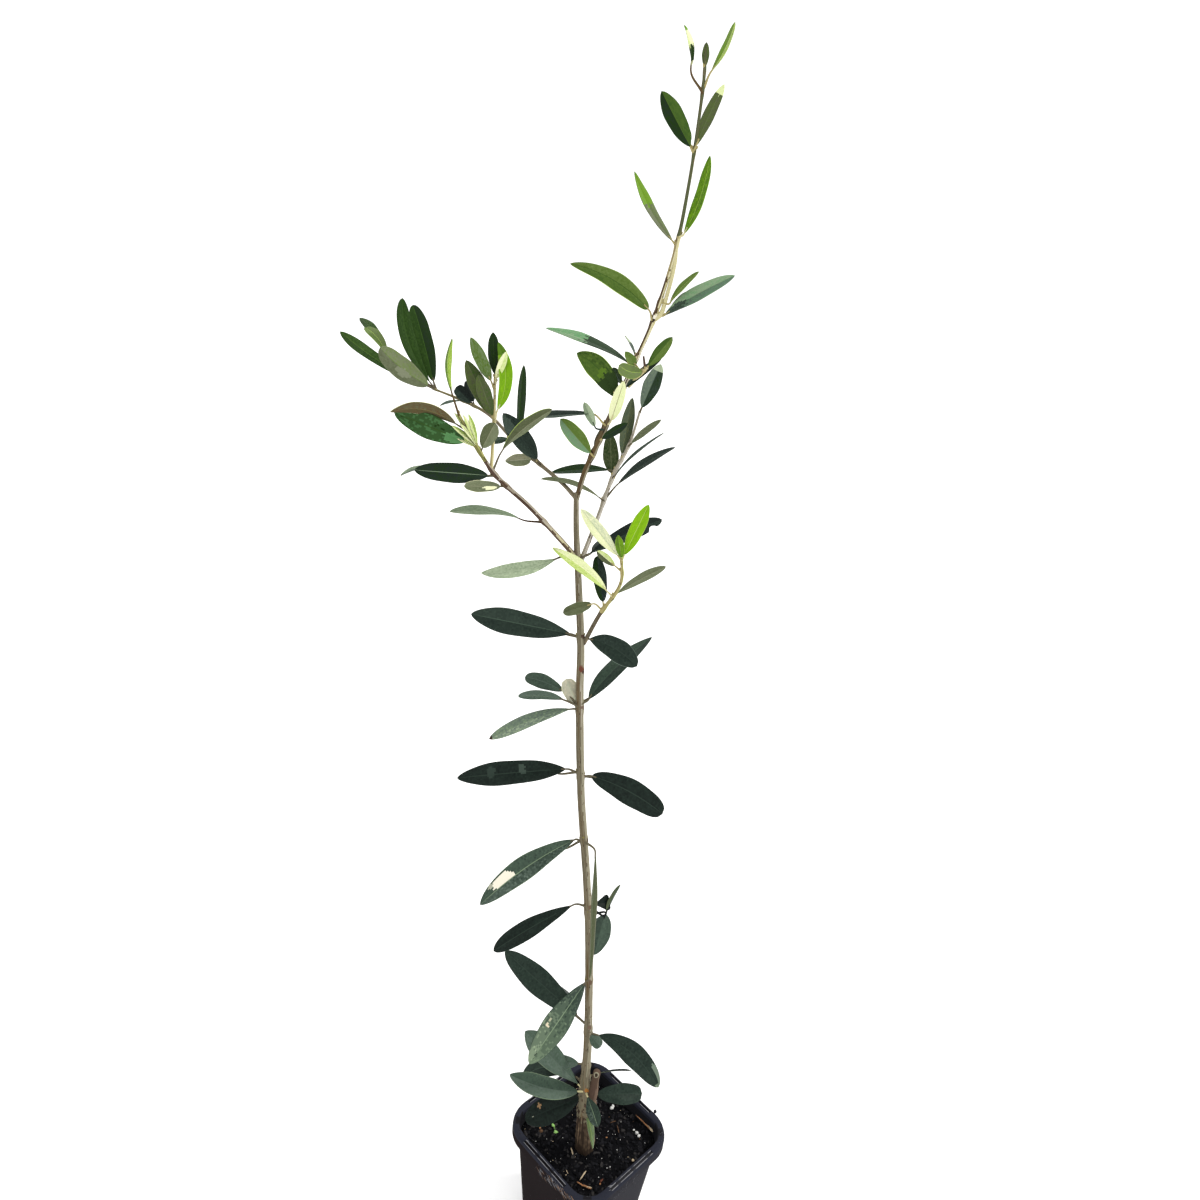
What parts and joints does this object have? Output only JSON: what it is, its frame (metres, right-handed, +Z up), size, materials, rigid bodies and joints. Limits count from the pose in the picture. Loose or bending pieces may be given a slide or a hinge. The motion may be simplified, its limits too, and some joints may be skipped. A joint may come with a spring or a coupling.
{
  "type": "potted olive tree",
  "caption": "Young olive tree with one slender leaning stem, side shoots near the top and narrow leaves in pairs, in a small square nursery pot.",
  "frame": {"origin": "centre of the pot's flat underside, which stands on the ground", "axes": "+Z up along the tree, X and Y across the faces of the square pot; the side seen in the picture faces between +X and -Y"},
  "size_m": [0.2462, 0.1743, 0.776],
  "materials": {
    "pot": "thin black moulded plastic, slightly shiny, scuffed and dusty",
    "soil": "moist dark potting compost, crumbly, with white grit",
    "bark": "olive-tan bark with fine lengthwise lines",
    "leaf": "leathery dark green leaves, paler below"
  },
  "bodies": {
    "root": {"pot": "pot", "soil": "soil", "trunk": "bark", "leader": "bark", "bough_left": "bark", "bough_back_left": "bark", "bough_back_right": "bark", "shoot_low_right": "bark", "shoot_left_up": "bark", "shoot_top_right": "bark", "stub": "bark", "foliage_foot": "leaf", "foliage_low": "leaf", "foliage_hanging": "leaf", "foliage_third": "leaf", "foliage_fourth": "leaf", "foliage_fifth": "leaf", "foliage_sixth": "leaf", "foliage_seventh": "leaf", "foliage_eighth": "leaf", "foliage_shoot_low": "leaf", "foliage_shoot_low_tip": "leaf", "foliage_left_low": "leaf", "foliage_left_mid": "leaf", "foliage_left_tip": "leaf", "foliage_left_up": "leaf", "foliage_back_low": "leaf", "foliage_back_mid": "leaf", "foliage_back_tip": "leaf", "foliage_right_low": "leaf", "foliage_right_tip": "leaf", "foliage_top_first": "leaf", "foliage_top_second": "leaf", "foliage_top_third": "leaf", "foliage_top_right": "leaf", "foliage_top_fourth": "leaf", "foliage_top_fifth": "leaf", "foliage_top_sixth": "leaf", "foliage_tip": "leaf"}
  },
  "joints": []
}
